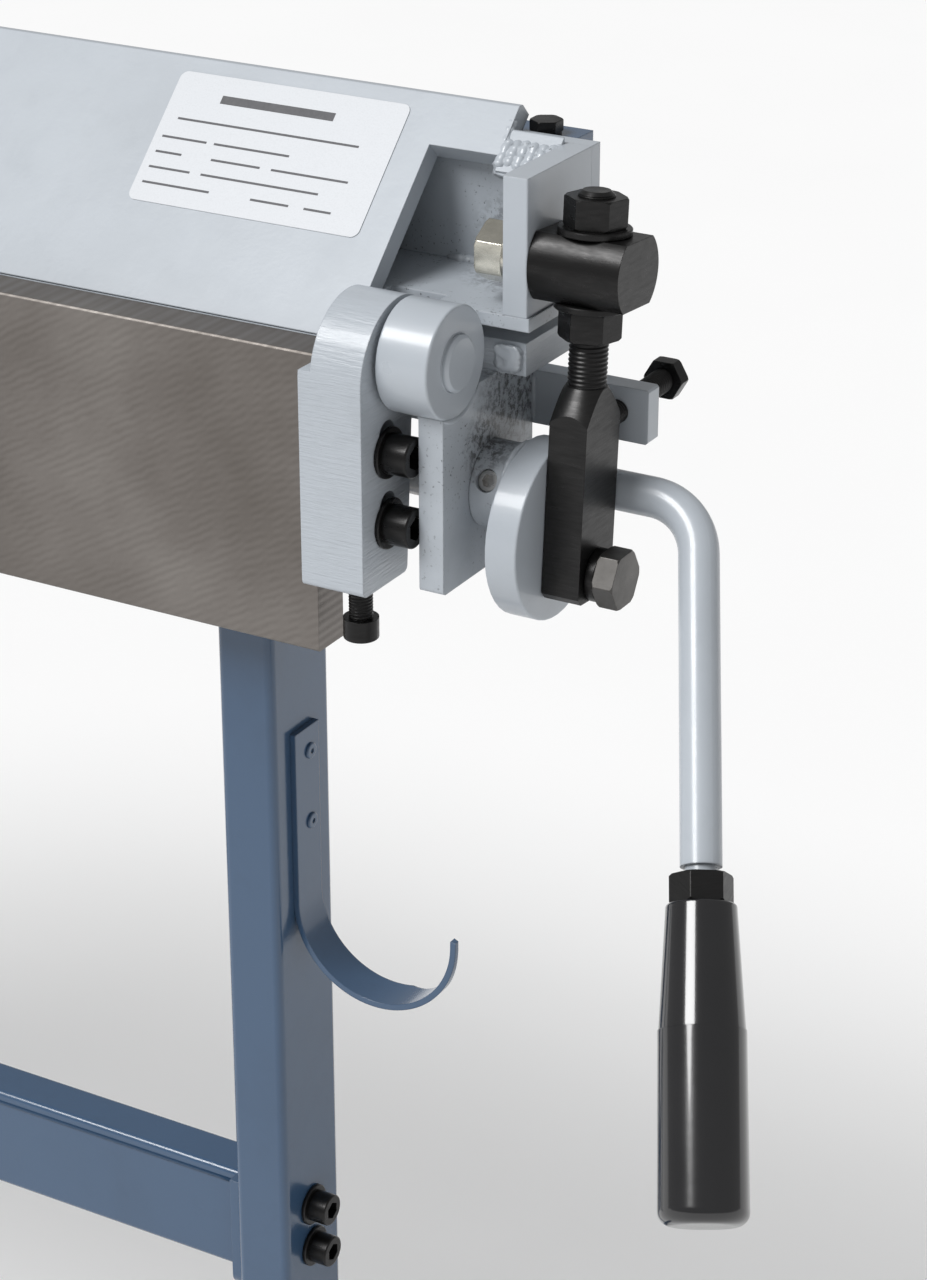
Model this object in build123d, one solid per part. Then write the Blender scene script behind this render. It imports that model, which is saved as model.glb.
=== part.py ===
from build123d import *
import os
from math import atan2, cos, degrees, hypot, radians, sin

# Sheet metal folding brake. +X is the operator's right, -Y the operator's side, +Z up, millimetres.
# The sub-parts are modelled about the bend line (y 0, z 0) and then moved, so that the origin is at
# the middle of the four floor anchors. An "end" part is modelled in the end
# frame, whose x 0 is the outer face of the leaf bracket, and stands at both ends of the machine.

bend_height = 880.0
leaf_length = 1230.0
leaf_thickness = 20.5
leaf_height = 139.0

bracket_width = 31.0
bracket_neck = 25.0
bracket_ledge = -3.0
bracket_front = -33.0
bracket_bottom = -102.0
bracket_arc_z = -8.0
bracket_screw_y = -12.0
bracket_screw_z = (-41.3, -73.8)
bracket_thread_radius = 6.0
bracket_rear = (8.5, -33.0)
bracket_rear_foot = 4.0
adjusting_screw_x = -13.0
adjusting_screw_y = -14.0

handle_x = 300.0
handle_y = -95.0
handle_z = -135.0
handle_radius = 10.0

hinge_pin_radius = 12.5
running_fit = 0.05
hinge_pin_inner = -24.6
bushing_radius = 25.0
bushing_inner = 2.0
bushing_outer = 27.0

side_plate_inner = 15.0
side_plate_front = -11.0
side_plate_rear = 68.0
side_plate_bottom = -103.0

bed_thickness = 15.0
bed_rear = 118.0
bed_front = 0.8
bed_end = 41.0
bed_step = -33.0
front_web = (1.5, 9.5)
rear_web = (60.0, 68.0)
mount_plate_top = -104.0
mount_plate_bottom = -112.0

lug_z = (-49.0, -24.0)
lug_end = 84.0
stop_bolt_x = 69.0
stop_bolt_z = -35.5
stop_bolt_tip = 56.4
stop_bolt_head = 112.0

shaft_y = 30.0
shaft_z = -64.0
shaft_radius = 12.5
hub_radius = 19.5
hub_inner = 27.3
disc_inner = 43.0
disc_outer = 58.2
disc_radius = 40.0
disc_socket = 9.0
disc_y = 36.0
disc_z = -83.0
crank_y = 35.0
crank_z = -99.0
crank_radius = 8.0
collar_outer = 81.5

link_inner = 58.7
link_outer = 76.7
link_depth = 31.0
trunnion_y = 45.0
trunnion_z = 36.0
trunnion_radius = 19.0
trunnion_flat = 14.6
trunnion_outer = 89.0
stud_radius = 8.0
stud_height = 168.5

nose_y = 1.2
nose_z = 0.5
beam_slope = 44.5
beam_plate = 10.0
beam_length = 125.0
strip_from = 98.0
beam_main_end = -27.0
strip_end = 8.0
base_bottom = 8.5
base_top = 14.5
base_end = 47.0
rear_plate_y = 84.0
rear_plate_thickness = 8.0
rear_plate_top = 66.5
end_plate_inner = 33.9
end_plate_outer = 45.9
end_plate_front = 27.0
end_plate_top = 75.5
notch_y = 36.0
base_notch_y = 38.0
base_neck = 1.0
base_front = 30.0
recess_end = 9.0

rail_z = (66.5, 72.5)
rail_y = (96.0, 116.0)
rail_lip_y = 92.5
rail_bolt_y = 100.5
rail_bolt_x = 15.0

pivot_y = 134.0
pivot_z = -132.0
pivot_x = 430.0
pivot_radius = 8.0
arm_half = 14.0
arm_thickness = 14.0
side_gap = 0.4

leg_outer = -73.0
leg_width = 30.0
leg_front = 4.0
leg_depth = 50.0
tube_wall = 3.0
foot_height = 35.0
foot_width = 50.0
foot_front = -200.0
foot_rear = 300.0
anchor_y = (-165.0, 265.0)
anchor_radius = 5.5

crossbar_front = 15.5
crossbar_depth = 25.0
crossbar_top = -460.0
crossbar_height = 58.0
crossbar_screw_y = 28.0
crossbar_screw_z = (-474.0, -499.0)

strap_y = (18.3, 38.8)
strap_top = -206.6
hook_centre_z = -296.0
hook_radius = 41.5
strap_thickness = 3.0

lever_radius = 9.0
lever_y = 63.0
lever_z = -70.2
lever_corner = 111.8
lever_bend = 30.0
lever_direction = (0.31, -0.57, -0.76)
lever_length = 159.0
grip_start = 175.0
grip_length = 133.0
grip_step = 53.0

end_x = leaf_length / 2 + bracket_width
MIN3 = (Align.MIN, Align.MIN, Align.MIN)
BASE = (Align.CENTER, Align.CENTER, Align.MIN)


# ---------------------------------------------------------------- helpers

def slab(x0, x1, y0, y1, z0, z1):
    return Pos(x0, y0, z0) * Box(x1 - x0, y1 - y0, z1 - z0, align=MIN3)


def rod_x(x0, x1, y, z, radius):
    return Pos(x0, y, z) * Rot(0, 90, 0) * Cylinder(radius, x1 - x0, align=BASE)


def rod_y(x, y0, y1, z, radius):
    return Pos(x, y0, z) * Rot(-90, 0, 0) * Cylinder(radius, y1 - y0, align=BASE)


def rod_z(x, y, z0, z1, radius):
    return Pos(x, y, z0) * Cylinder(radius, z1 - z0, align=BASE)


def profile_x(edges, x0, x1):
    """A closed outline in the YZ plane, drawn out from x0 to x1."""
    face = Plane.YZ * make_face(Wire(edges))
    return Pos(x0, 0, 0) * extrude(face, x1 - x0)


def polygon_x(points, x0, x1):
    return profile_x(Polyline(*points, close=True).edges(), x0, x1)


def hexagon(across_flats, height):
    """Hexagon head or nut standing on z 0, its corners turned off at both ends."""
    prism = extrude(RegularPolygon(across_flats / 2, 6, major_radius=False), height)
    turned = Cylinder(across_flats * 0.573, height, align=BASE)
    turned = chamfer(turned.edges().filter_by(GeomType.CIRCLE), across_flats * 0.035)
    return prism & turned


def ring(outer, inner, height):
    return Cylinder(outer, height, align=BASE) - Cylinder(inner, height, align=BASE)


def washer(outer, inner, height):
    blank = ring(outer, inner, height)
    return chamfer(blank.edges().filter_by(GeomType.CIRCLE).sort_by(SortBy.RADIUS)[-2:], 0.4)


def cap_screw(thread, length):
    """Socket cap screw: its head stands on z 0 and its shank points down."""
    radius = thread * 0.8 if thread < 12 else thread * 0.75
    head = Cylinder(radius, thread, align=BASE)
    head = fillet(head.edges().sort_by(Axis.Z)[-1], 0.9)
    socket = extrude(RegularPolygon(thread * 0.4, 6, major_radius=False), thread * 0.55)
    head -= Pos(0, 0, thread * 0.46) * socket
    return head + Pos(0, 0, -length) * Cylinder(thread / 2, length, align=BASE)


def along_x(x, y, z):
    """Turns a piece that stands on z 0 so that it points along +X from this place."""
    return Pos(x, y, z) * Rot(0, 90, 0)


def at_right(piece):
    return Pos(end_x, 0, 0) * piece


def at_left(piece):
    return mirror(at_right(piece), about=Plane.YZ)


def save(name, *pieces):
    solids = []
    for piece in pieces:
        lifted = Pos(0, -sum(anchor_y) / 2, bend_height) * piece
        solids.extend(lifted.solids())
    shape = solids[0] if len(solids) == 1 else Compound(children=solids)
    export_step(shape, "parts/" + name + ".step")


def save_ends(name, piece):
    """One node for each end of the machine."""
    save(name + "_right", at_right(piece))
    save(name + "_left", at_left(piece))


def save_pair(name, *pieces):
    """Identical small pieces of both ends, as one node of separate solids."""
    save(name, *[at_right(p) for p in pieces], *[at_left(p) for p in pieces])


# ---------------------------------------------------------------- bending leaf

def leaf_bar():
    half = leaf_length / 2
    bar = slab(-half, half, -leaf_thickness, 0, -leaf_height, 0)
    bar = chamfer(bar.edges().filter_by(Axis.X).sort_by(Axis.Y)[:2], 0.8)
    for z in bracket_screw_z:
        bar -= rod_x(half - 26, half, bracket_screw_y, z, bracket_thread_radius)
        bar -= rod_x(-half, -half + 26, bracket_screw_y, z, bracket_thread_radius)
    return bar


def leaf_bracket():
    """Hinge bracket: bolted to the leaf's end, narrow at the top where it clears the beam."""
    front = bracket_front
    bottom = bracket_bottom
    shoulder = (bushing_radius * cos(radians(50)), -bushing_radius * sin(radians(50)))
    outline = [
        Line((front, bottom), (front, bracket_arc_z)),
        CenterArc((0, bracket_arc_z), -front, 90, 90),
        CenterArc((0, 0), bushing_radius, -50, 140),
        Line(shoulder, bracket_rear),
        Line(bracket_rear, (bracket_rear_foot, bottom)),
        Line((bracket_rear_foot, bottom), (front, bottom)),
    ]
    body = profile_x(outline, -bracket_width, 0)
    body = fillet(body.edges().filter_by(Axis.X).sort_by(Axis.Z)[:2], 3)
    body -= slab(-bracket_width, -bracket_neck, -60, 60, bracket_ledge, 60)
    body -= rod_x(-bracket_neck, 0, 0, 0, hinge_pin_radius + running_fit)
    for z in bracket_screw_z:
        body -= slab(-bracket_width, 0, bracket_screw_y - 6.5, bracket_screw_y + 6.5, z - 5, z + 8)
        body -= rod_x(-bracket_width, 0, bracket_screw_y, z + 8, 6.5)
        body -= rod_x(-bracket_width, 0, bracket_screw_y, z - 5, 6.5)
    return body - rod_z(adjusting_screw_x, adjusting_screw_y, bottom, bracket_screw_z[1] - 5, 5)


def bracket_screws():
    """They thread into the leaf's end."""
    return [along_x(2, bracket_screw_y, z) * cap_screw(12, bracket_width + 26)
            for z in bracket_screw_z]


def bracket_washers():
    return [along_x(0, bracket_screw_y, z) * washer(11.5, 6.2, 2) for z in bracket_screw_z]


def adjusting_screw():
    """Points up from below the bracket and bears on the lower bracket screw."""
    head = -120
    length = bracket_screw_z[1] - 6.5 - head
    return Pos(adjusting_screw_x, adjusting_screw_y, head) * Rot(180, 0, 0) * cap_screw(10, length)


def leaf_handle():
    """Bow handle of round tube, welded to the leaf's front face."""
    root = -leaf_thickness
    points = [(-handle_x, root, handle_z + 25), (-handle_x, handle_y, handle_z),
              (handle_x, handle_y, handle_z), (handle_x, root, handle_z + 25)]
    path = FilletPolyline(*points, radius=30)
    bow = sweep(Plane(origin=points[0], z_dir=path % 0) * Circle(handle_radius), path=path)
    return bow - slab(-400, 400, root, 0, handle_z, 0)


# ---------------------------------------------------------------- hinge and side plate

def hinge_bushing():
    bushing = rod_x(bushing_inner, bushing_outer, 0, 0, bushing_radius)
    bushing = fillet(bushing.edges().filter_by(GeomType.CIRCLE), 1.0)
    return bushing - rod_x(bushing_inner, bushing_outer, 0, 0, hinge_pin_radius)


def hinge_pin():
    pin = rod_x(hinge_pin_inner, bushing_outer + 3, 0, 0, hinge_pin_radius)
    return chamfer(pin.edges().filter_by(GeomType.CIRCLE), 1.4)


def side_plate():
    x0 = side_plate_inner
    x1 = bushing_outer
    plate = slab(x0, x1, side_plate_front, side_plate_rear, side_plate_bottom, -bed_thickness)
    plate = fillet(plate.edges().filter_by(Axis.X).sort_by(Axis.Z)[:2], 2)
    plate -= rod_x(x0, x1, 0, 0, bushing_radius)
    plate -= slab(x0, x1, *rear_web, -55, -bed_thickness)
    return plate - rod_x(x0, x1, shaft_y, shaft_z, shaft_radius + running_fit)


def stop_lug():
    rear = side_plate_rear
    lug = slab(side_plate_inner, lug_end, rear, rear + 10, *lug_z)
    lug = chamfer(lug.edges().filter_by(Axis.Y).sort_by(Axis.X)[-2:], 1.0)
    return lug - rod_y(stop_bolt_x, rear, rear + 10, stop_bolt_z, 5)


def stop_bolt():
    """M10 bolt whose tip stops the link when the beam is clamped."""
    shank = rod_y(stop_bolt_x, stop_bolt_tip, stop_bolt_head, stop_bolt_z, 5)
    shank = chamfer(shank.edges().filter_by(GeomType.CIRCLE).sort_by(Axis.Y)[0], 1)
    return shank + Pos(stop_bolt_x, stop_bolt_head, stop_bolt_z) * Rot(-90, 0, 0) * hexagon(17, 7)


# ---------------------------------------------------------------- bed

def bed_plate():
    """Set back at both ends, where the leaf's brackets swing."""
    step = end_x + bed_step
    tip = end_x + bed_end
    right = [(step, bed_front), (step, notch_y), (tip, notch_y), (tip, bed_rear)]
    left = [(-x, y) for x, y in reversed(right)]
    face = make_face(Polyline(*right, *left, close=True))
    return Pos(0, 0, -bed_thickness) * extrude(face, bed_thickness)


def bed_front_web():
    half = end_x + bed_step
    return slab(-half, half, *front_web, mount_plate_top, -bed_thickness)


def bed_rear_web():
    half = end_x + bushing_outer
    return slab(-half, half, *rear_web, -55, -bed_thickness)


def leg_mount():
    """A rib under the bed with the plate that the leg stands against, welded as one."""
    x = leg_outer - leg_width / 2
    rib = slab(x - 4, x + 4, front_web[1], rear_web[0], mount_plate_top, -bed_thickness)
    rib -= rod_x(x - 4, x + 4, shaft_y, shaft_z, shaft_radius + 3)
    return rib + slab(x - 20, x + 20, front_web[0], rear_web[1], mount_plate_bottom, mount_plate_top)


def pivot_cheeks():
    """Two lugs of one rear pivot, standing under the bed about x 0."""
    outline = [(rear_web[1], -bed_thickness), (bed_rear - 2, -bed_thickness),
               (pivot_y + arm_half, pivot_z), (pivot_y - arm_half, pivot_z), (rear_web[1], -70)]
    cheeks = []
    for x in (-arm_thickness / 2 - side_gap - 10, arm_thickness / 2 + side_gap):
        lug = polygon_x(outline, x, x + 10) + rod_x(x, x + 10, pivot_y, pivot_z, arm_half)
        cheeks.append(lug - rod_x(x, x + 10, pivot_y, pivot_z, pivot_radius))
    return cheeks


def pivot_pin():
    half = arm_thickness / 2 + side_gap + 10
    pin = rod_x(-half - 5, half, pivot_y, pivot_z, pivot_radius)
    return pin + rod_x(-half - 5, -half, pivot_y, pivot_z, pivot_radius + 3)


# ---------------------------------------------------------------- clamping beam

def on_slope(distance, depth=0.0):
    """Place on the beam's sloping face, up from the nose, and below that face."""
    a = radians(beam_slope)
    y = nose_y + distance * cos(a) + depth * sin(a)
    z = nose_z + distance * sin(a) - depth * cos(a)
    return y, z


def beam_front_plate():
    flat = beam_plate / sin(radians(beam_slope))
    main = [(nose_y, nose_z), (nose_y + flat, nose_z), on_slope(beam_length, beam_plate),
            on_slope(beam_length - 2, 0)]
    main.insert(3, on_slope(beam_length, 2))
    strip = [on_slope(strip_from, 0), on_slope(strip_from, beam_plate),
             on_slope(beam_length, beam_plate), on_slope(beam_length, 2),
             on_slope(beam_length - 2, 0)]
    half = end_x + beam_main_end
    long = end_x + strip_end
    return polygon_x(main, -half, half) + polygon_x(strip, -long, long)


def beam_base_plate():
    inner = end_x + beam_main_end
    neck = end_x + base_neck
    tip = end_x + base_end
    rear = rear_plate_y + rear_plate_thickness
    right = [(inner, base_front), (inner, base_notch_y), (neck, base_notch_y), (neck, end_plate_front),
             (tip, end_plate_front), (tip, rear)]
    left = [(-x, y) for x, y in reversed(right)]
    face = make_face(Polyline(*right, *left, close=True))
    return Pos(0, 0, base_bottom) * extrude(face, base_top - base_bottom)


def beam_rear_plate():
    """Rear wall, taller at both ends beside the end plates."""
    half = end_x + end_plate_outer
    inner = end_x + recess_end
    rear = rear_plate_y + rear_plate_thickness
    plate = slab(-half, half, rear_plate_y, rear, base_top, rear_plate_top)
    plate += slab(inner, half, rear_plate_y, rear, base_top, end_plate_top)
    return plate + slab(-half, -inner, rear_plate_y, rear, base_top, end_plate_top)


def end_plate():
    plate = slab(end_plate_inner, end_plate_outer, end_plate_front, rear_plate_y, base_top,
                 end_plate_top)
    plate = fillet(plate.edges().filter_by(Axis.Z).sort_by(Axis.Y)[:2], 0.8)
    return plate - rod_x(end_plate_inner, end_plate_outer, trunnion_y, trunnion_z, stud_radius)


def trunnion_bolt():
    """Hexagon bolt inside the end plate. Its shank ends with the plate: the linkage opens here."""
    head = along_x(end_plate_inner - 17, trunnion_y, trunnion_z) * hexagon(24, 14)
    return head + rod_x(end_plate_inner - 3, end_plate_outer, trunnion_y, trunnion_z, stud_radius)


def beam_filler():
    """Flame-cut piece that carries the slope on from the strip to the end plate."""
    outline = [on_slope(91, 1), on_slope(91, 8), on_slope(105, 8), on_slope(112, 1)]
    return polygon_x(outline, strip_end, end_plate_inner)


def trunnion_bolt_washer():
    return along_x(end_plate_inner - 3, trunnion_y, trunnion_z) * washer(15, stud_radius, 3)


def rating_plate():
    y, z = on_slope(81.5)
    plate = fillet(Box(121.5, 68, 0.4, align=BASE).edges().filter_by(Axis.Z), 4)
    return Pos(end_x - 103.5, y, z) * Rot(beam_slope, 0, 0) * plate


def rear_rail():
    """Blue flat rail behind the beam, wider at its ends."""
    half = end_x + 30
    wide = end_x + recess_end + 1
    rail = slab(-half, half, *rail_y, *rail_z)
    rail += slab(wide, half, rail_lip_y, rail_y[1], *rail_z)
    return rail + slab(-half, -wide, rail_lip_y, rail_y[1], *rail_z)


def rail_block():
    """Block between the beam's rear plate and the rail above it."""
    rear = rear_plate_y + rear_plate_thickness
    return slab(-14, 14, rear, rail_y[1], 40, rail_z[0])


def rail_bolt():
    head = Cylinder(6.8, 1.6, align=BASE) + Pos(0, 0, 1.6) * Rot(0, 0, 30) * hexagon(13, 5.3)
    return Pos(0, 0, rail_z[1]) * head


def beam_arm():
    """Arm from the beam's rear plate, over the bed's rear edge and down to the pivot."""
    rear = rear_plate_y + rear_plate_thickness
    y0 = pivot_y - arm_half
    y1 = pivot_y + arm_half
    outline = [(rear, 22), (rear, 58), (y1 - 12, 58), (y1, 46), (y1, pivot_z), (y0, pivot_z),
               (y0, 22)]
    arm = polygon_x(outline, -arm_thickness / 2, arm_thickness / 2)
    arm += rod_x(-arm_thickness / 2, arm_thickness / 2, pivot_y, pivot_z, arm_half)
    return arm - rod_x(-20, 20, pivot_y, pivot_z, pivot_radius + running_fit)


# ---------------------------------------------------------------- cam shaft and clamp lever

def cam_shaft():
    half = end_x + disc_inner + disc_socket
    return rod_x(-half, half, shaft_y, shaft_z, shaft_radius)


def hub():
    body = rod_x(hub_inner, disc_inner, shaft_y, shaft_z, hub_radius)
    body -= rod_x(hub_inner, disc_inner, shaft_y, shaft_z, shaft_radius)
    return body - set_screw_place() * Cylinder(5.2, 12, align=BASE)


def set_screw_place():
    """A radial place on the hub, on the operator's side and a little above the shaft."""
    start = Pos((hub_inner + disc_inner) / 2 - 0.5, shaft_y, shaft_z) * Rot(65, 0, 0)
    return start * Pos(0, 0, shaft_radius)


def set_screw():
    screw = Cylinder(5.2, 5, align=BASE)
    screw = chamfer(screw.edges().filter_by(GeomType.CIRCLE).sort_by(Axis.Z)[-1], 0.7)
    socket = extrude(RegularPolygon(2.6, 6, major_radius=False), 4)
    return set_screw_place() * (screw - Pos(0, 0, 2) * socket)


def crank_disc():
    disc = rod_x(disc_inner, disc_outer, disc_y, disc_z, disc_radius)
    disc = fillet(disc.edges().filter_by(GeomType.CIRCLE), 0.8)
    disc -= rod_x(disc_inner, disc_inner + disc_socket, shaft_y, shaft_z, shaft_radius)
    return disc - rod_x(disc_inner, disc_outer, crank_y, crank_z, crank_radius)


def crank_bolt():
    shank = rod_x(disc_inner, collar_outer, crank_y, crank_z, crank_radius)
    return shank + along_x(collar_outer, crank_y, crank_z) * Rot(0, 0, 30) * hexagon(24, 10)


def crank_collar():
    gap = 0.3
    height = collar_outer - link_outer - gap
    return along_x(link_outer + gap, crank_y, crank_z) * washer(12, crank_radius, height)


def lever_vector():
    return Vector(*lever_direction).normalized()


def lever_bar():
    """Round bar: out along +X from the disc, one bend, then down towards the operator."""
    corner = Vector(lever_corner, lever_y, lever_z)
    start = (disc_outer, lever_y, lever_z)
    end = corner + lever_vector() * lever_length
    path = FilletPolyline(start, corner, end, radius=lever_bend)
    bar = sweep(Plane(origin=start, z_dir=(1, 0, 0)) * Circle(lever_radius), path=path)
    return bar + lever_place(lever_length) * Cylinder(7, 3.5, align=BASE)


def lever_place(distance):
    """A frame on the lever's axis at this distance past its corner, z along the lever."""
    origin = Vector(lever_corner, lever_y, lever_z) + lever_vector() * distance
    return Plane(origin=origin, x_dir=(0, 0.8, -0.6), z_dir=lever_vector()).location


def grip_nut():
    return lever_place(lever_length + 3.5) * hexagon(24, grip_start - lever_length - 3.5)


def grip():
    """Turned handle: tapers up to the nut, with a fine step at its widest and a rounded end."""
    body = Cone(15, 18.2, grip_step, align=BASE)
    body = fillet(body.edges().filter_by(GeomType.CIRCLE).sort_by(Axis.Z)[0], 1.5)
    lower = Cone(18.6, 19, grip_length - grip_step, align=BASE)
    lower = fillet(lower.edges().filter_by(GeomType.CIRCLE).sort_by(Axis.Z)[-1], 6)
    return lever_place(grip_start) * (body + Pos(0, 0, grip_step) * lower)


# ---------------------------------------------------------------- links

def link_frame():
    """The link's own frame: origin on the crank pin, z up the link, leaning to the rear."""
    lean = degrees(atan2(trunnion_y - crank_y, trunnion_z - crank_z))
    return Pos(0, crank_y, crank_z) * Rot(-lean, 0, 0)


def link_bar():
    """Flat bar from the crank pin, turned down to a threaded stud at its top."""
    shoulder = 69.0
    top = 84.0
    x = (link_inner + link_outer) / 2
    bar = slab(link_inner, link_outer, -link_depth / 2, link_depth / 2, -11, top)
    bar = chamfer(bar.edges().filter_by(Axis.X).sort_by(Axis.Z)[:2], 3.0)
    turned = Pos(x, 0, -11) * Cylinder(18.2, shoulder + 11, align=BASE)
    turned += Pos(x, 0, shoulder) * Cone(18.2, stud_radius + 1, top - shoulder, align=BASE)
    stud = rod_z(x, 0, top, stud_height, stud_radius)
    stud = chamfer(stud.edges().filter_by(GeomType.CIRCLE).sort_by(Axis.Z)[-1], 2)
    bar = (bar & turned) + stud
    return link_frame() * (bar - rod_x(link_inner, link_outer, 0, 0, crank_radius + running_fit))


def trunnion_height():
    return hypot(trunnion_y - crank_y, trunnion_z - crank_z)


def trunnion():
    height = trunnion_height()
    body = rod_x(end_plate_outer + 0.3, trunnion_outer, 0, height, trunnion_radius)
    body &= slab(0, 120, -30, 30, height - trunnion_flat, height + trunnion_flat)
    x = (link_inner + link_outer) / 2
    return link_frame() * (body - rod_z(x, 0, 0, 200, stud_radius))


def stud_nuts():
    x = (link_inner + link_outer) / 2
    low = trunnion_height() - trunnion_flat - 3 - 13
    high = trunnion_height() + trunnion_flat + 3
    nut = Rot(0, 0, 20) * hexagon(24, 13) - Cylinder(stud_radius, 13, align=BASE)
    return [link_frame() * Pos(x, 0, z) * nut for z in (low, high)]


def stud_washers():
    x = (link_inner + link_outer) / 2
    low = trunnion_height() - trunnion_flat - 3
    high = trunnion_height() + trunnion_flat
    return [link_frame() * Pos(x, 0, z) * washer(16, stud_radius, 3) for z in (low, high)]


# ---------------------------------------------------------------- stand

def leg():
    floor = -bend_height + foot_height
    inner = leg_outer - leg_width
    tube = slab(inner, leg_outer, leg_front, leg_front + leg_depth, floor, mount_plate_bottom)
    tube = fillet(tube.edges().filter_by(Axis.Z), 4)
    tube -= slab(inner + tube_wall, leg_outer - tube_wall, leg_front + tube_wall,
                 leg_front + leg_depth - tube_wall, floor, mount_plate_bottom)
    for z in crossbar_screw_z:
        tube -= rod_x(inner, leg_outer, crossbar_screw_y, z, 5)
    return tube


def foot():
    x0 = leg_outer - leg_width / 2 - foot_width / 2
    z0 = -bend_height
    tube = slab(x0, x0 + foot_width, foot_front, foot_rear, z0, z0 + foot_height)
    tube = fillet(tube.edges().filter_by(Axis.Y), 4)
    tube -= slab(x0 + tube_wall, x0 + foot_width - tube_wall, foot_front, foot_rear,
                 z0 + tube_wall, z0 + foot_height - tube_wall)
    for y in anchor_y:
        tube -= rod_z(x0 + foot_width / 2, y, z0, z0 + foot_height, anchor_radius)
    return tube


def foot_caps():
    x = leg_outer - leg_width / 2
    z = -bend_height
    caps = []
    for y in (foot_front - 3, foot_rear):
        cap = slab(x - 25, x + 25, y, y + 3, z, z + foot_height)
        caps.append(fillet(cap.edges().filter_by(Axis.Y), 4))
    return caps


def crossbar():
    half = end_x + leg_outer - leg_width - 6
    bottom = crossbar_top - crossbar_height
    rear = crossbar_front + crossbar_depth
    bar = slab(-half, half, crossbar_front, rear, bottom, crossbar_top)
    bar = fillet(bar.edges().filter_by(Axis.X), 3)
    return bar - slab(-half, half, crossbar_front + 2.5, rear - 2.5, bottom + 2.5,
                      crossbar_top - 2.5)


def crossbar_flange():
    """Plate at the crossbar's end, a little lower than the bar, bolted through the leg."""
    x1 = leg_outer - leg_width
    bottom = crossbar_top - crossbar_height - 7
    plate = slab(x1 - 6, x1, leg_front + 4, leg_front + leg_depth - 4, bottom, crossbar_top)
    plate = fillet(plate.edges().filter_by(Axis.X).sort_by(Axis.Z)[:2], 8)
    for z in crossbar_screw_z:
        plate -= rod_x(x1 - 6, x1, crossbar_screw_y, z, 5)
    return plate


def leg_screws():
    place = [along_x(leg_outer + 2, crossbar_screw_y, z) for z in crossbar_screw_z]
    return [p * cap_screw(10, leg_width + 2 + 6) for p in place]


def leg_washers():
    return [along_x(leg_outer, crossbar_screw_y, z) * washer(10.5, 5, 2) for z in crossbar_screw_z]


# ---------------------------------------------------------------- hook

def hook():
    """J hook of flat bar: straight down the leg, then a half round, open at the top."""
    x0 = leg_outer
    outer = hook_radius + strap_thickness
    centre = x0 + outer
    strap = slab(x0, x0 + strap_thickness, *strap_y, hook_centre_z, strap_top)
    width = strap_y[1] - strap_y[0]
    round_bar = Pos(centre, strap_y[0], hook_centre_z) * Rot(-90, 0, 0) * ring(outer, hook_radius, width)
    round_bar -= slab(centre - 60, centre + 60, 0, 60, hook_centre_z, hook_centre_z + 60)
    tip = slab(centre + hook_radius, centre + outer, *strap_y, hook_centre_z, hook_centre_z + 3)
    bar = strap + round_bar + tip
    return bar - extrude(Plane.XY.offset(hook_centre_z - 60) * make_face(
        Polyline((centre + 9.5, strap_y[1]), (centre + outer + 1, strap_y[0] + 2),
                 (centre + outer + 1, strap_y[1] + 1), (centre + 9.5, strap_y[1] + 1), close=True)), 80)


def hook_rivets():
    """Blind rivets: a thin round flange with the broken-off mandrel's hole."""
    rivets = []
    for z in (-219.5, -256.5):
        flange = fillet(Cylinder(4, 1.2, align=BASE).edges().sort_by(Axis.Z)[-1], 0.8)
        flange -= Pos(0, 0, 0.5) * Cylinder(1.25, 1.2, align=BASE)
        rivets.append(along_x(leg_outer + strap_thickness, 31, z) * flange)
    return rivets


# ---------------------------------------------------------------- output

def write_leaf():
    save("leaf_bar", leaf_bar())
    save_ends("leaf_bracket", leaf_bracket())
    save_pair("bracket_screws", *bracket_screws())
    save_pair("bracket_washers", *bracket_washers())
    save_pair("adjusting_screws", adjusting_screw())
    save("leaf_handle", leaf_handle())


def write_bed():
    save("bed_plate", bed_plate())
    save("bed_front_web", bed_front_web())
    save("bed_rear_web", bed_rear_web())
    save_pair("leg_mounts", leg_mount())
    save_ends("side_plate", side_plate())
    save_pair("hinge_bushings", hinge_bushing())
    save_pair("hinge_pins", hinge_pin())
    save_pair("stop_lugs", stop_lug())
    save_pair("stop_bolts", stop_bolt())
    cheeks = pivot_cheeks()
    save("pivot_cheeks", *[Pos(x, 0, 0) * c for x in (-pivot_x, pivot_x) for c in cheeks])
    save("pivot_pins", *[Pos(x, 0, 0) * pivot_pin() for x in (-pivot_x, pivot_x)])


def write_beam():
    save("beam_front_plate", beam_front_plate())
    save("beam_base_plate", beam_base_plate())
    save("beam_rear_plate", beam_rear_plate())
    save_ends("end_plate", end_plate())
    save_pair("beam_fillers", beam_filler())
    save_pair("trunnion_bolts", trunnion_bolt())
    save_pair("trunnion_bolt_washers", trunnion_bolt_washer())
    save("rating_plate", rating_plate())
    save("rear_rail", rear_rail())
    places = (-end_x - rail_bolt_x, 0, end_x + rail_bolt_x)
    save("rail_blocks", *[Pos(x, 0, 0) * rail_block() for x in places])
    save("rail_bolts", *[Pos(x, rail_bolt_y + (0 if x else 10), 0) * rail_bolt() for x in places])
    save("beam_arms", *[Pos(x, 0, 0) * beam_arm() for x in (-pivot_x, pivot_x)])


def write_cam():
    save("cam_shaft", cam_shaft())
    save_pair("cam_hubs", hub())
    save_pair("set_screws", set_screw())
    save_pair("crank_discs", crank_disc())
    save_pair("crank_bolts", crank_bolt())
    save_pair("crank_collars", crank_collar())
    save("lever_bar", at_right(lever_bar()))
    save("grip_nut", at_right(grip_nut()))
    save("grip", at_right(grip()))


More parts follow.
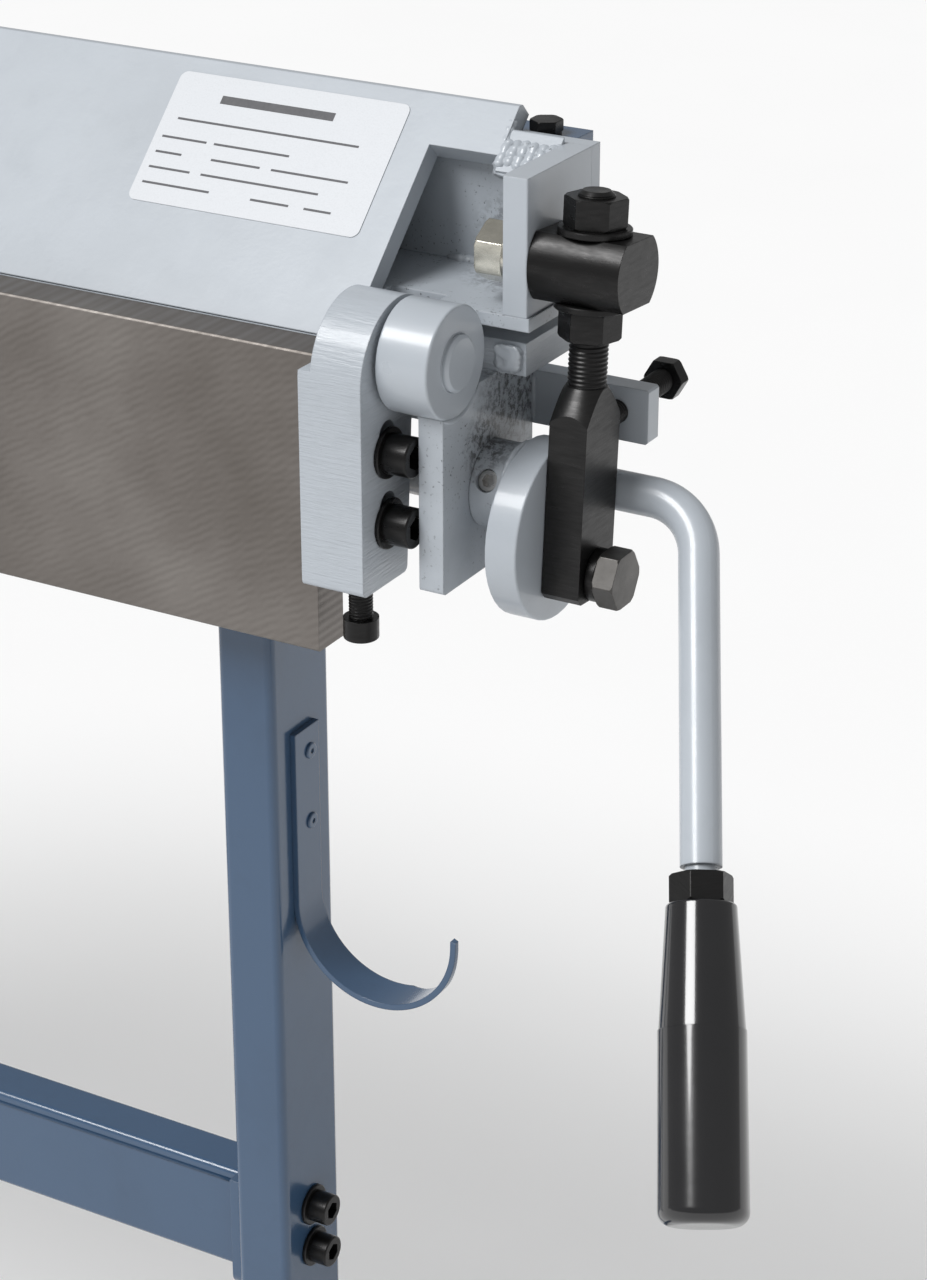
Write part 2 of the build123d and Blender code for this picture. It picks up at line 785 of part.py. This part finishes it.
def write_links():
    save_ends("link_bar", link_bar())
    save_ends("trunnion", trunnion())
    save("stud_nuts_right", *[at_right(n) for n in stud_nuts()])
    save("stud_nuts_left", *[at_left(n) for n in stud_nuts()])
    save("stud_washers_right", *[at_right(w) for w in stud_washers()])
    save("stud_washers_left", *[at_left(w) for w in stud_washers()])


def write_stand():
    save_ends("leg", leg())
    save_ends("foot", foot())
    save_pair("foot_caps", *foot_caps())
    save("crossbar", crossbar())
    save_pair("crossbar_flanges", crossbar_flange())
    save_pair("leg_screws", *leg_screws())
    save_pair("leg_washers", *leg_washers())
    save("hook", at_right(hook()))
    save("hook_rivets", *[at_right(r) for r in hook_rivets()])


os.makedirs("parts", exist_ok=True)
write_leaf()
write_bed()
write_beam()
write_cam()
write_links()
write_stand()
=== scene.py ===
import math
import random

import bmesh
import bpy
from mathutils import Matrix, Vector


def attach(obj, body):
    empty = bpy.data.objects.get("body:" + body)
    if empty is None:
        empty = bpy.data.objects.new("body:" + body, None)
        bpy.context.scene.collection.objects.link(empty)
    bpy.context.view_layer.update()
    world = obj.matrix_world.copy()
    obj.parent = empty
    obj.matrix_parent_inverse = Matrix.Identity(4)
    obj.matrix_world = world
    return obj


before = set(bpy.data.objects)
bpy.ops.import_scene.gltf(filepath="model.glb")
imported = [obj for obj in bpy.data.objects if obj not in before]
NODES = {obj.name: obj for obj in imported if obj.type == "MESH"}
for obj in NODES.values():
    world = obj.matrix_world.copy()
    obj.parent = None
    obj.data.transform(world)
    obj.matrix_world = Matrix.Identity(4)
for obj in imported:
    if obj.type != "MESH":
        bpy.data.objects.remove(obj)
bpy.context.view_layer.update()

MM = 0.001

# The bend line in the row frame, and the outer face of the right leaf bracket.
BEND_Y = -0.050
BEND_Z = 0.880
END_X = 0.646

# The right end's main places, in its own millimetres: (Y, Z) of each axis along X.
SHAFT = (30, -64)
CRANK = (35, -99)
TRUNNION = (45, 36)
HINGE = (0, 0)
LEVER = (63, -70.2)
LINK_X = 67.7
STOP_X, STOP_Z = 69, -35.5
# The beam's nose, and how steeply its front plate rises from there.
NOSE_Y, NOSE_Z = 1.2, 0.5
SLOPE = math.radians(44.5)


def at(x, y, z):
    """A place in the right end's own millimetres, as a point in the row frame."""
    return Vector((END_X + x * MM, BEND_Y + y * MM, BEND_Z + z * MM))


def on_beam(x, along, depth):
    """A place this far up the beam's sloping plate, and this deep into it."""
    return at(x, NOSE_Y + along * math.cos(SLOPE) + depth * math.sin(SLOPE),
              NOSE_Z + along * math.sin(SLOPE) - depth * math.cos(SLOPE))


# ------------------------------------------------------------------ node helpers

class Nodes:
    """Builds one node tree, so that each material below reads as a short recipe."""

    def __init__(self, name):
        self.material = bpy.data.materials.new(name)
        self.material.use_nodes = True
        self.tree = self.material.node_tree
        self.shader = self.tree.nodes["Principled BSDF"]
        self.place = self.add("ShaderNodeTexCoord").outputs["Object"]

    def add(self, kind, **settings):
        node = self.tree.nodes.new(kind)
        for key, value in settings.items():
            setattr(node, key, value)
        return node

    def join(self, source, target):
        self.tree.links.new(source, target)

    def stretch(self, scale):
        node = self.add("ShaderNodeMapping")
        node.inputs["Scale"].default_value = scale
        self.join(self.place, node.inputs["Vector"])
        return node.outputs["Vector"]

    def noise(self, scale, detail=4.0, rough=0.55, vector=None):
        node = self.add("ShaderNodeTexNoise")
        node.inputs["Scale"].default_value = scale
        node.inputs["Detail"].default_value = detail
        node.inputs["Roughness"].default_value = rough
        self.join(vector or self.place, node.inputs["Vector"])
        return node.outputs["Fac"]

    def ramp(self, source, stops):
        node = self.add("ShaderNodeValToRGB")
        ends = node.color_ramp.elements
        while len(ends) < len(stops):
            ends.new(0.5)
        for element, (position, colour) in zip(ends, stops):
            element.position = position
            element.color = tuple(colour) + (1.0,) if len(colour) == 3 else colour
        self.join(source, node.inputs["Fac"])
        return node.outputs["Color"]

    def range(self, source, low, high, start=0.0, end=1.0):
        node = self.add("ShaderNodeMapRange")
        for name, value in (("From Min", start), ("From Max", end), ("To Min", low), ("To Max", high)):
            node.inputs[name].default_value = value
        self.join(source, node.inputs["Value"])
        return node.outputs["Result"]

    def mix(self, factor, a, b, blend="MIX"):
        node = self.add("ShaderNodeMix", data_type="RGBA", blend_type=blend)
        for value, socket in ((factor, node.inputs[0]), (a, node.inputs[6]), (b, node.inputs[7])):
            if isinstance(value, bpy.types.NodeSocket):
                self.join(value, socket)
            elif isinstance(value, (int, float)):
                socket.default_value = value
            else:
                socket.default_value = tuple(value) + (1.0,)
        return node.outputs[2]

    def math(self, operation, a, b=0.0):
        node = self.add("ShaderNodeMath", operation=operation)
        for value, socket in ((a, node.inputs[0]), (b, node.inputs[1])):
            if isinstance(value, bpy.types.NodeSocket):
                self.join(value, socket)
            else:
                socket.default_value = value
        return node.outputs[0]

    def bump(self, *layers, edge=0.0007):
        """Soft edges first, then each (height, strength, distance) on top of them."""
        bevel = self.add("ShaderNodeBevel", samples=4)
        bevel.inputs["Radius"].default_value = edge
        normal = bevel.outputs["Normal"]
        for height, strength, distance in layers:
            node = self.add("ShaderNodeBump")
            node.inputs["Strength"].default_value = strength
            node.inputs["Distance"].default_value = distance
            self.join(height, node.inputs["Height"])
            self.join(normal, node.inputs["Normal"])
            normal = node.outputs["Normal"]
        self.join(normal, self.shader.inputs["Normal"])

    def finish(self, colour, roughness, metallic=0.0, coat=0.0, coat_roughness=0.1):
        self.join(colour, self.shader.inputs["Base Color"])
        self.join(roughness, self.shader.inputs["Roughness"])
        self.shader.inputs["Metallic"].default_value = metallic
        self.shader.inputs["Coat Weight"].default_value = coat
        self.shader.inputs["Coat Roughness"].default_value = coat_roughness
        return self.material


# ------------------------------------------------------------------ materials

def paint(name, colour, gloss, speckle=0.0, ridges=0.0, dirt=0.25, soot=()):
    """Brushed-on enamel: colour drift, orange peel, faint grime, and optional dark overspray.

    soot lists (place, reach) of the spots where the paint went on thin over burnt steel.
    """
    n = Nodes(name)
    dark = tuple(c * (1 - dirt) for c in colour)
    light = tuple(min(1.0, c * 1.06) for c in colour)
    base = n.ramp(n.noise(9, 6), [(0.30, dark), (0.52, colour), (0.80, light)])
    grime = n.range(n.noise(55, 8, 0.7), 0.0, 0.35 * dirt + 0.05, 0.55, 0.8)
    base = n.mix(grime, base, tuple(c * 0.35 for c in colour))
    if speckle:
        dots = n.range(n.noise(620, 2, 0.5), 0.0, speckle, 0.63, 0.70)
        patch = n.range(n.noise(38, 3), 0.0, 1.0, 0.44, 0.62)
        base = n.mix(n.math("MULTIPLY", dots, patch), base, (0.03, 0.03, 0.03))
    for place, reach in soot:
        near = n.add("ShaderNodeVectorMath", operation="DISTANCE")
        n.join(n.place, near.inputs[0])
        near.inputs[1].default_value = place
        fade = n.range(near.outputs["Value"], 1.0, 0.0, reach * 0.35, reach)
        burnt = n.range(n.noise(260, 8, 0.75), 0.0, 1.0, 0.46, 0.56)
        base = n.mix(n.math("MULTIPLY", n.math("MULTIPLY", fade, burnt), 0.85), base, (0.035, 0.032, 0.030))
    rough = n.range(n.noise(30, 5), gloss * 0.8, gloss * 1.35, 0.3, 0.7)
    layers = [(n.noise(420, 3), 0.10, 0.0004), (n.noise(60, 4), 0.12, 0.0010)]
    if ridges:
        lines = n.noise(60, 3, 0.6, n.stretch((1, 1, 14)))
        layers.append((lines, ridges, 0.0006))
    n.bump(*layers, edge=0.0009)
    return n.finish(base, rough, coat=0.35, coat_roughness=0.12)


def steel(name, dark, light, rough, metallic=0.9, stretch=(1, 1, 1), grain=160, bump=0.15):
    """Bare or blackened steel with grain along one direction and uneven tarnish."""
    n = Nodes(name)
    fine = n.noise(grain, 6, 0.65, n.stretch(stretch))
    cloud = n.noise(14, 4)
    base = n.mix(n.range(cloud, 0.25, 0.75), dark, light)
    base = n.mix(n.range(fine, 0.0, 0.5, 0.3, 0.75), base, tuple(c * 0.45 for c in dark))
    n.bump((fine, bump, 0.0003), (n.noise(700, 2), 0.08, 0.0002), edge=0.0005)
    return n.finish(base, n.range(fine, rough * 0.8, rough * 1.3, 0.3, 0.7), metallic)


def ground_steel():
    """Large arcs left by a cup grinding wheel, crossing in two directions, with stains."""
    n = Nodes("ground_steel")
    arcs = []
    for centre, scale in (((0.2, 0, 1.35), 95), ((0.75, 0, 0.35), 80)):
        move = n.add("ShaderNodeMapping")
        move.inputs["Location"].default_value = (-centre[0], 0, -centre[2])
        move.inputs["Scale"].default_value = (1, 0.02, 1)
        n.join(n.place, move.inputs["Vector"])
        wave = n.add("ShaderNodeTexWave", wave_type="RINGS", rings_direction="SPHERICAL")
        wave.inputs["Scale"].default_value = scale
        wave.inputs["Distortion"].default_value = 3.5
        wave.inputs["Detail"].default_value = 4
        wave.inputs["Detail Scale"].default_value = 1.6
        n.join(move.outputs["Vector"], wave.inputs["Vector"])
        arcs.append(wave.outputs["Fac"])
    both = n.math("MULTIPLY", n.math("ADD", arcs[0], arcs[1]), 0.5)
    cloud = n.noise(11, 5)
    base = n.ramp(cloud, [(0.25, (0.135, 0.120, 0.108)), (0.55, (0.185, 0.168, 0.155)),
                          (0.85, (0.25, 0.232, 0.215))])
    base = n.mix(n.range(both, 0.0, 0.14), base, (0.08, 0.07, 0.06))
    base = n.mix(n.range(n.noise(5, 3), 0.0, 0.35, 0.5, 0.75), base, (0.33, 0.31, 0.29))
    n.bump((both, 0.04, 0.0003), (n.noise(500, 4), 0.12, 0.0002), edge=0.0006)
    return n.finish(base, n.range(both, 0.36, 0.52), 0.75)


def plastic(name, colour, rough, coat):
    n = Nodes(name)
    base = n.mix(n.range(n.noise(40, 4), 0.0, 0.5), colour, tuple(c * 1.8 + 0.004 for c in colour))
    n.bump((n.noise(260, 3), 0.05, 0.0003), edge=0.0006)
    return n.finish(base, n.range(n.noise(35, 5), rough * 0.7, rough * 1.4), 0.0, coat, 0.05)


def sticker_paper():
    n = Nodes("sticker_paper")
    base = n.mix(n.range(n.noise(1400, 2), 0.0, 0.35, 0.45, 0.7), (0.60, 0.62, 0.65), (0.50, 0.52, 0.54))
    n.bump((n.noise(900, 2), 0.06, 0.0001), edge=0.0002)
    return n.finish(base, n.range(n.noise(200, 3), 0.32, 0.48))


def printed_ink():
    n = Nodes("printed_ink")
    base = n.mix(n.noise(600, 3), (0.03, 0.03, 0.035), (0.09, 0.09, 0.10))
    n.bump((n.noise(900, 2), 0.05, 0.0001), edge=0.0001)
    return n.finish(base, n.range(n.noise(300, 2), 0.4, 0.55))


GREY = (0.415, 0.450, 0.490)
BLUE = (0.038, 0.080, 0.150)
SOOT = [(Vector((side * p.x, p.y, p.z)), reach) for side in (1, -1)
        for p, reach in ((at(27, 52, -28), 0.038), (at(27, 22, -44), 0.018), (at(14, 76, 26), 0.030))]
MATERIALS = {
    "grey": paint("grey_enamel", GREY, 0.34, dirt=0.10),
    "grey_ridged": paint("grey_enamel_over_mill_marks", GREY, 0.36, ridges=0.9, dirt=0.16),
    "grey_speckled": paint("grey_enamel_with_overspray", GREY, 0.40, speckle=0.80, dirt=0.30, soot=SOOT),
    "blue": paint("blue_enamel", BLUE, 0.20, dirt=0.18),
    "ground": ground_steel(),
    "black": steel("black_oxide", (0.010, 0.010, 0.010), (0.032, 0.031, 0.031),
                   0.30, 0.7, (1, 1, 5), 120, 0.12),
    "black_turned": steel("black_oxide_turned", (0.016, 0.016, 0.016), (0.042, 0.041, 0.041),
                          0.32, 0.75, (1, 1, 9), 90, 0.25),
    "bright": steel("bright_steel", (0.34, 0.335, 0.325), (0.62, 0.61, 0.60),
                    0.30, 0.95, (1, 1, 6), 140, 0.15),
    "hex_steel": steel("turned_hex", (0.075, 0.072, 0.068), (0.135, 0.13, 0.125),
                       0.34, 0.85, (1, 1, 1), 60, 0.2),
    "zinc": steel("yellow_zinc", (0.46, 0.44, 0.37), (0.80, 0.78, 0.70), 0.18, 0.95, (1, 1, 2), 90, 0.1),
    "grip": plastic("grip_black", (0.006, 0.006, 0.007), 0.16, 0.6),
    "cap": plastic("cap_black", (0.014, 0.014, 0.015), 0.5, 0.0),
    "sticker": sticker_paper(),
    "ink": printed_ink(),
}

LOOKS = {
    "grey": "beam_fillers hinge_pins beam_front_plate end_plate_right end_plate_left lever_bar stop_lugs "
            "hinge_bushings crank_discs",
    "grey_ridged": "leaf_bracket_right leaf_bracket_left bed_plate",
    "grey_speckled": "side_plate_right side_plate_left beam_rear_plate beam_base_plate cam_hubs "
                     "bed_front_web bed_rear_web",
    "blue": "leg_right leg_left foot_right foot_left crossbar crossbar_flanges leg_mounts hook hook_rivets "
            "rear_rail rail_blocks beam_arms pivot_cheeks",
    "ground": "leaf_bar",
    "black": "bracket_screws bracket_washers adjusting_screws stud_nuts_right stud_nuts_left "
             "stud_washers_right stud_washers_left crank_collars leaf_handle rail_bolts leg_screws "
             "stop_bolts trunnion_right trunnion_left",
    "black_turned": "link_bar_right link_bar_left grip_nut leg_washers",
    "bright": "cam_shaft pivot_pins set_screws",
    "hex_steel": "crank_bolts",
    "zinc": "trunnion_bolts trunnion_bolt_washers",
    "grip": "grip",
    "cap": "foot_caps",
    "sticker": "rating_plate",
}


def dress_nodes():
    for look, names in LOOKS.items():
        for name in names.split():
            mesh = NODES[name].data
            mesh.materials.clear()
            mesh.materials.append(MATERIALS[look])
    undressed = set(NODES) - set(" ".join(LOOKS.values()).split())
    assert not undressed, undressed


# ------------------------------------------------------------------ pieces

def piece(name, build, look, body):
    """A mesh piece from a bmesh builder, riding on a body."""
    bm = bmesh.new()
    build(bm)
    bmesh.ops.recalc_face_normals(bm, faces=bm.faces)
    mesh = bpy.data.meshes.new(name)
    bm.to_mesh(mesh)
    bm.free()
    for face in mesh.polygons:
        face.use_smooth = True
    mesh.materials.append(MATERIALS[look])
    obj = bpy.data.objects.new(name, mesh)
    bpy.context.scene.collection.objects.link(obj)
    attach(obj, body)
    return obj


def tube(bm, points, radii, sides=12):
    """A closed tube through points, with its own radius at each."""
    rings = []
    for i, (point, radius) in enumerate(zip(points, radii)):
        ahead = points[min(i + 1, len(points) - 1)] - points[max(i - 1, 0)]
        across = ahead.orthogonal().normalized() if i == 0 else (across - across.project(ahead)).normalized()
        up = ahead.normalized().cross(across)
        ring = []
        for k in range(sides):
            a = math.tau * k / sides
            ring.append(bm.verts.new(point + (across * math.cos(a) + up * math.sin(a)) * radius))
        rings.append(ring)
    for low, high in zip(rings, rings[1:]):
        for k in range(sides):
            bm.faces.new((low[k], low[(k + 1) % sides], high[(k + 1) % sides], high[k]))
    bm.faces.new(rings[0])
    bm.faces.new(rings[-1])


def weld_path(bm, route, length, radius, seed):
    """A hand-laid bead: overlapping ripples of uneven width along route(0 to 1)."""
    chance = random.Random(seed)
    steps = max(8, int(length / (0.0011)))
    points = []
    radii = []
    for i in range(steps + 1):
        t = i / steps
        wander = Vector((chance.uniform(-1, 1), chance.uniform(-1, 1), chance.uniform(-1, 1))) * radius * 0.07
        ripple = 0.86 + 0.13 * abs(math.sin(t * length / 0.0042 * math.pi)) + chance.uniform(-0.04, 0.04)
        ends = min(1.0, 0.35 + 6 * min(t, 1 - t))
        points.append(route(t) + wander)
        radii.append(radius * ripple * ends)
    tube(bm, points, radii, 14)


def weld(bm, start, end, radius, seed):
    weld_path(bm, lambda t: start.lerp(end, t), (end - start).length, radius, seed)


def rough_block(bm, place, low, high, seed, rough):
    """A lumpy box of weld metal; place turns its own millimetres into a row point."""
    chance = random.Random(seed)
    for vert in bm.verts:
        vert.tag = True
    made = bmesh.ops.create_cube(bm, size=1)["verts"]
    edges = [edge for edge in bm.edges if edge.verts[0] in made]
    bmesh.ops.subdivide_edges(bm, edges=edges, cuts=6, use_grid_fill=True)
    verts = [vert for vert in bm.verts if not vert.tag]
    for vert in verts:
        shrink = 1 - 0.10 * (abs(vert.co.x) * 2) ** 4 - 0.10 * (abs(vert.co.z) * 2) ** 4
        spot = []
        for near, far, share in zip(low, high, vert.co):
            middle = (near + far) / 2
            dent = abs(chance.gauss(0, rough)) * share
            spot.append(middle + (near + (far - near) * (share + 0.5) - middle) * shrink - dent)
        vert.co = place(*spot)


def thread(bm, start, end, core, pitch):
    """A V thread standing just proud of a plain rod."""
    axis = end - start
    length = axis.length
    axis.normalize()
    across = axis.orthogonal().normalized()
    up = axis.cross(across)
    around = 40
    per_turn = 8
    rows = int(length / pitch * per_turn)
    grid = []
    for j in range(rows + 1):
        run = length * j / rows
        ring = []
        for k in range(around):
            turn = k / around
            phase = (run / pitch - turn) % 1.0
            height = 1 - abs(phase * 2 - 1)
            radius = core + 0.42 * pitch * height * 0.75
            a = math.tau * turn
            ring.append(bm.verts.new(start + axis * run + (across * math.cos(a) + up * math.sin(a)) * radius))
        grid.append(ring)
    for low, high in zip(grid, grid[1:]):
        for k in range(around):
            bm.faces.new((low[k], low[(k + 1) % around], high[(k + 1) % around], high[k]))
    bm.faces.new(grid[0])
    bm.faces.new(grid[-1])


def mirrored(point):
    return Vector((-point.x, point.y, point.z))


def arc(x, centre, radius, flip, start=0.0, turn=math.tau):
    """A route round an axis along X, for weld_path."""
    return lambda t: flip(at(x, centre[0] + radius * math.cos(start + turn * t),
                             centre[1] + radius * math.sin(start + turn * t)))


def both_ends(build):
    """Runs a builder for the right end and, mirrored, for the left."""
    build(lambda p: p)
    build(mirrored)


LEAN = math.atan2(TRUNNION[0] - CRANK[0], TRUNNION[1] - CRANK[1])


def on_link(height):
    """A place on the link's axis, this far above the crank pin."""
    return at(LINK_X, CRANK[0] + height * math.sin(LEAN), CRANK[1] + height * math.cos(LEAN))


def threads():
    for side, flip in (("right", lambda p: p), ("left", mirrored)):
        def studs(bm, flip=flip):
            thread(bm, flip(on_link(85)), flip(on_link(104.5)), 8.0 * MM, 2 * MM)
            thread(bm, flip(on_link(164.9)), flip(on_link(167.2)), 7.4 * MM, 2 * MM)
        piece("stud_thread_" + side, studs, "black", "link_" + side)

    def stops(bm):
        for start, end in ((84.5, 111.5), (57.5, 67.5)):
            both_ends(lambda flip: thread(bm, flip(at(STOP_X, start, STOP_Z)), flip(at(STOP_X, end, STOP_Z)),
                                          5.0 * MM, 1.75 * MM))
    piece("stop_bolt_threads", stops, "black", "frame")

    def adjusters(bm):
        both_ends(lambda flip: thread(bm, flip(at(-13, -14, -119.5)), flip(at(-13, -14, -102.5)),
                                      5.0 * MM, 1.5 * MM))
    piece("adjusting_screw_threads", adjusters, "black", "leaf")


def frame_welds():
    def beads(bm):
        def one_end(flip):
            # where the side plate's top meets the hinge bushing, inside and out
            for x, turn, length, radius, seed in ((14.6, 96, 0.042, 2.0, 11), (26.6, 70, 0.031, 1.4, 12)):
                route = arc(x, HINGE, 25.3, flip, math.radians(246), math.radians(turn))
                weld_path(bm, route, length, radius * MM, seed)
            # the lump over the bed's stub, then the stub's underside and the lug
            rough_block(bm, lambda *p: flip(at(*p)), (25.0, 33.0, -14.8), (40.6, 40, -0.4), 31, 1.6)
            weld(bm, flip(at(27, 38, -15.6)), flip(at(27, 67, -15.6)), 2.2 * MM, 32)
            weld(bm, flip(at(27.4, 68, -47)), flip(at(27.4, 68, -26)), 1.4 * MM, 33)
        both_ends(one_end)
    piece("frame_welds", beads, "grey", "frame")


def beam_welds():
    def beads(bm):
        def one_end(flip):
            weld(bm, flip(at(-25, 83.6, 15)), flip(at(33, 83.6, 15)), 2.6 * MM, 41)
            weld(bm, flip(at(33.6, 29, 15)), flip(at(33.6, 82, 15)), 1.8 * MM, 42)
            weld(bm, flip(at(33.6, 83.4, 18)), flip(at(33.6, 83.4, 58)), 2.0 * MM, 43)
            weld(bm, flip(at(10, 83.6, 64)), flip(at(34, 83.6, 70)), 2.6 * MM, 44)
        both_ends(one_end)
    piece("beam_welds", beads, "grey_speckled", "beam")


def rough_filler():
    """Flame-cut and welded lumps where the beam's slope meets its end plate."""
    def lumps(bm):
        def one_end(flip):
            rough_block(bm, lambda *p: flip(on_beam(*p)), (4, 89, 1.0), (34, 111, 7), 49, 2.2)
            for k in range(6):
                x = 8 + 4.4 * k
                start = flip(on_beam(x, 92 + 1.5 * (k % 2), 2.6))
                weld(bm, start, flip(on_beam(x + 1.0, 108, 2.6)), 3.2 * MM, 50 + k)
            weld(bm, flip(on_beam(33, 90, 2.6)), flip(on_beam(33, 110, 2.6)), 2.4 * MM, 59)
            weld(bm, flip(on_beam(7.5, 101, 2.4)), flip(on_beam(6.0, 118, 2.4)), 2.6 * MM, 60)
        both_ends(one_end)
    piece("filler_welds", lumps, "grey_speckled", "beam")


def cam_welds():
    def beads(bm):
        weld_path(bm, arc(58.6, LEVER, 9.2, lambda p: p), 0.058, 1.5 * MM, 70)
        both_ends(lambda flip: weld_path(bm, arc(42.6, SHAFT, 19.7, flip), 0.124, 1.5 * MM, 90))
    piece("cam_welds", beads, "grey", "cam")


def pin_ring():
    """The fine line between the hinge pin's end and the bushing."""
    def ring(bm):
        def one_end(flip):
            route = arc(27.1, HINGE, 12.9, flip)
            points = [route(k / 48) for k in range(49)]
            tube(bm, points, [0.35 * MM] * len(points), 8)
        both_ends(one_end)
    piece("hinge_pin_line", ring, "grey", "frame")


def crossbar_lip():
    """Folded lip along the crossbar's top front edge, and the weld beads down the crossbar's ends."""
    def lip(bm):
        half = (END_X - 0.110)
        y, z = BEND_Y + 15.4 * MM, BEND_Z - 466 * MM
        tube(bm, [Vector((-half, y, z)), Vector((half, y, z))], [0.9 * MM] * 2, 10)
    piece("crossbar_lip", lip, "blue", "frame")

    def joint(bm):
        both_ends(lambda flip: weld(bm, flip(at(-109.5, 15.2, -516)), flip(at(-109.5, 15.2, -462)),
                                    2.2 * MM, 110))
    piece("crossbar_welds", joint, "blue", "frame")


def stand_welds():
    def beads(bm):
        def one_end(flip):
            for y in (4, 54):
                weld(bm, flip(at(-101, y, -845)), flip(at(-75, y, -845)), 2.6 * MM, int(120 + y))
                weld(bm, flip(at(-101, y, -112.4)), flip(at(-75, y, -112.4)), 2.2 * MM, int(130 + y))
        both_ends(one_end)
    piece("stand_welds", beads, "blue", "frame")


# The rating plate's left edge, its middle up the slope, and how far its face stands off.
PLATE_LEFT, PLATE_MIDDLE, PLATE_RISE = -164, 81.5, 0.46


def sticker_rows():
    """Plain ruled bars in place of print, so that the plate stays blank of words."""
    # row height down the plate, then (start, length) of each bar
    rows = ((20, ((26, 60),)), (9, ((8, 96),)), (-1, ((4, 24), (32, 40))),
            (-9, ((4, 14), (34, 26), (66, 40))),
            (-17, ((4, 22), (32, 62))), (-25, ((4, 36), (62, 20), (90, 14))))

    def bars(bm):
        for height, spans in rows:
            for start, length in spans:
                corners = []
                thick = 1.1 if height < 15 else 4.2
                for du, dv in ((0, 0), (length, 0), (length, thick), (0, thick)):
                    corners.append(bm.verts.new(on_beam(PLATE_LEFT + start + du, PLATE_MIDDLE + height + dv,
                                                        -PLATE_RISE)))
                bm.faces.new(corners)
    piece("rating_plate_rows", bars, "ink", "beam")


# ------------------------------------------------------------------ stage, light, camera

def stage():
    bpy.ops.mesh.primitive_plane_add(size=30, location=(0, 0, -0.0005))
    floor = bpy.context.object
    floor.name = "studio_floor"
    n = Nodes("studio_floor")
    base = n.mix(n.noise(1.5, 3), (0.93, 0.93, 0.93), (0.95, 0.95, 0.95))
    n.bump((n.noise(40, 2), 0.01, 0.001), edge=0.0001)
    floor.data.materials.append(n.finish(base, n.range(n.noise(3, 2), 0.75, 0.85)))


def lights():
    """One broad, soft light from the front left and above, over an even white room."""
    world = bpy.data.worlds.new("studio")
    world.use_nodes = True
    back = world.node_tree.nodes["Background"]
    back.inputs["Color"].default_value = (1, 1, 1, 1)
    back.inputs["Strength"].default_value = 0.36
    bpy.context.scene.world = world
    data = bpy.data.lights.new("key", "SUN")
    data.energy = 2.8
    data.angle = math.radians(28)
    key = bpy.data.objects.new("key", data)
    key.rotation_euler = Vector((0.34, 0.55, -0.77)).to_track_quat("-Z", "Y").to_euler()
    bpy.context.scene.collection.objects.link(key)
    bpy.context.scene.view_settings.view_transform = "Standard"


def camera():
    """At the photograph's viewing angle: no shift, level horizon."""
    azimuth = math.radians(29.71)
    elevation = math.radians(24.7)
    look = Vector((-math.sin(azimuth) * math.cos(elevation), math.cos(azimuth) * math.cos(elevation),
                   -math.sin(elevation)))
    data = bpy.data.cameras.new("camera")
    data.sensor_width = 36
    data.sensor_fit = "AUTO"
    data.lens = 89.84
    data.clip_start = 0.01
    obj = bpy.data.objects.new("camera", data)
    obj.location = at(657.8, -1099.1, 454.9)
    obj.rotation_euler = look.to_track_quat("-Z", "Y").to_euler()
    bpy.context.scene.collection.objects.link(obj)
    bpy.context.scene.camera = obj


dress_nodes()
threads()
frame_welds()
beam_welds()
rough_filler()
cam_welds()
pin_ring()
crossbar_lip()
stand_welds()
sticker_rows()
stage()
lights()
camera()
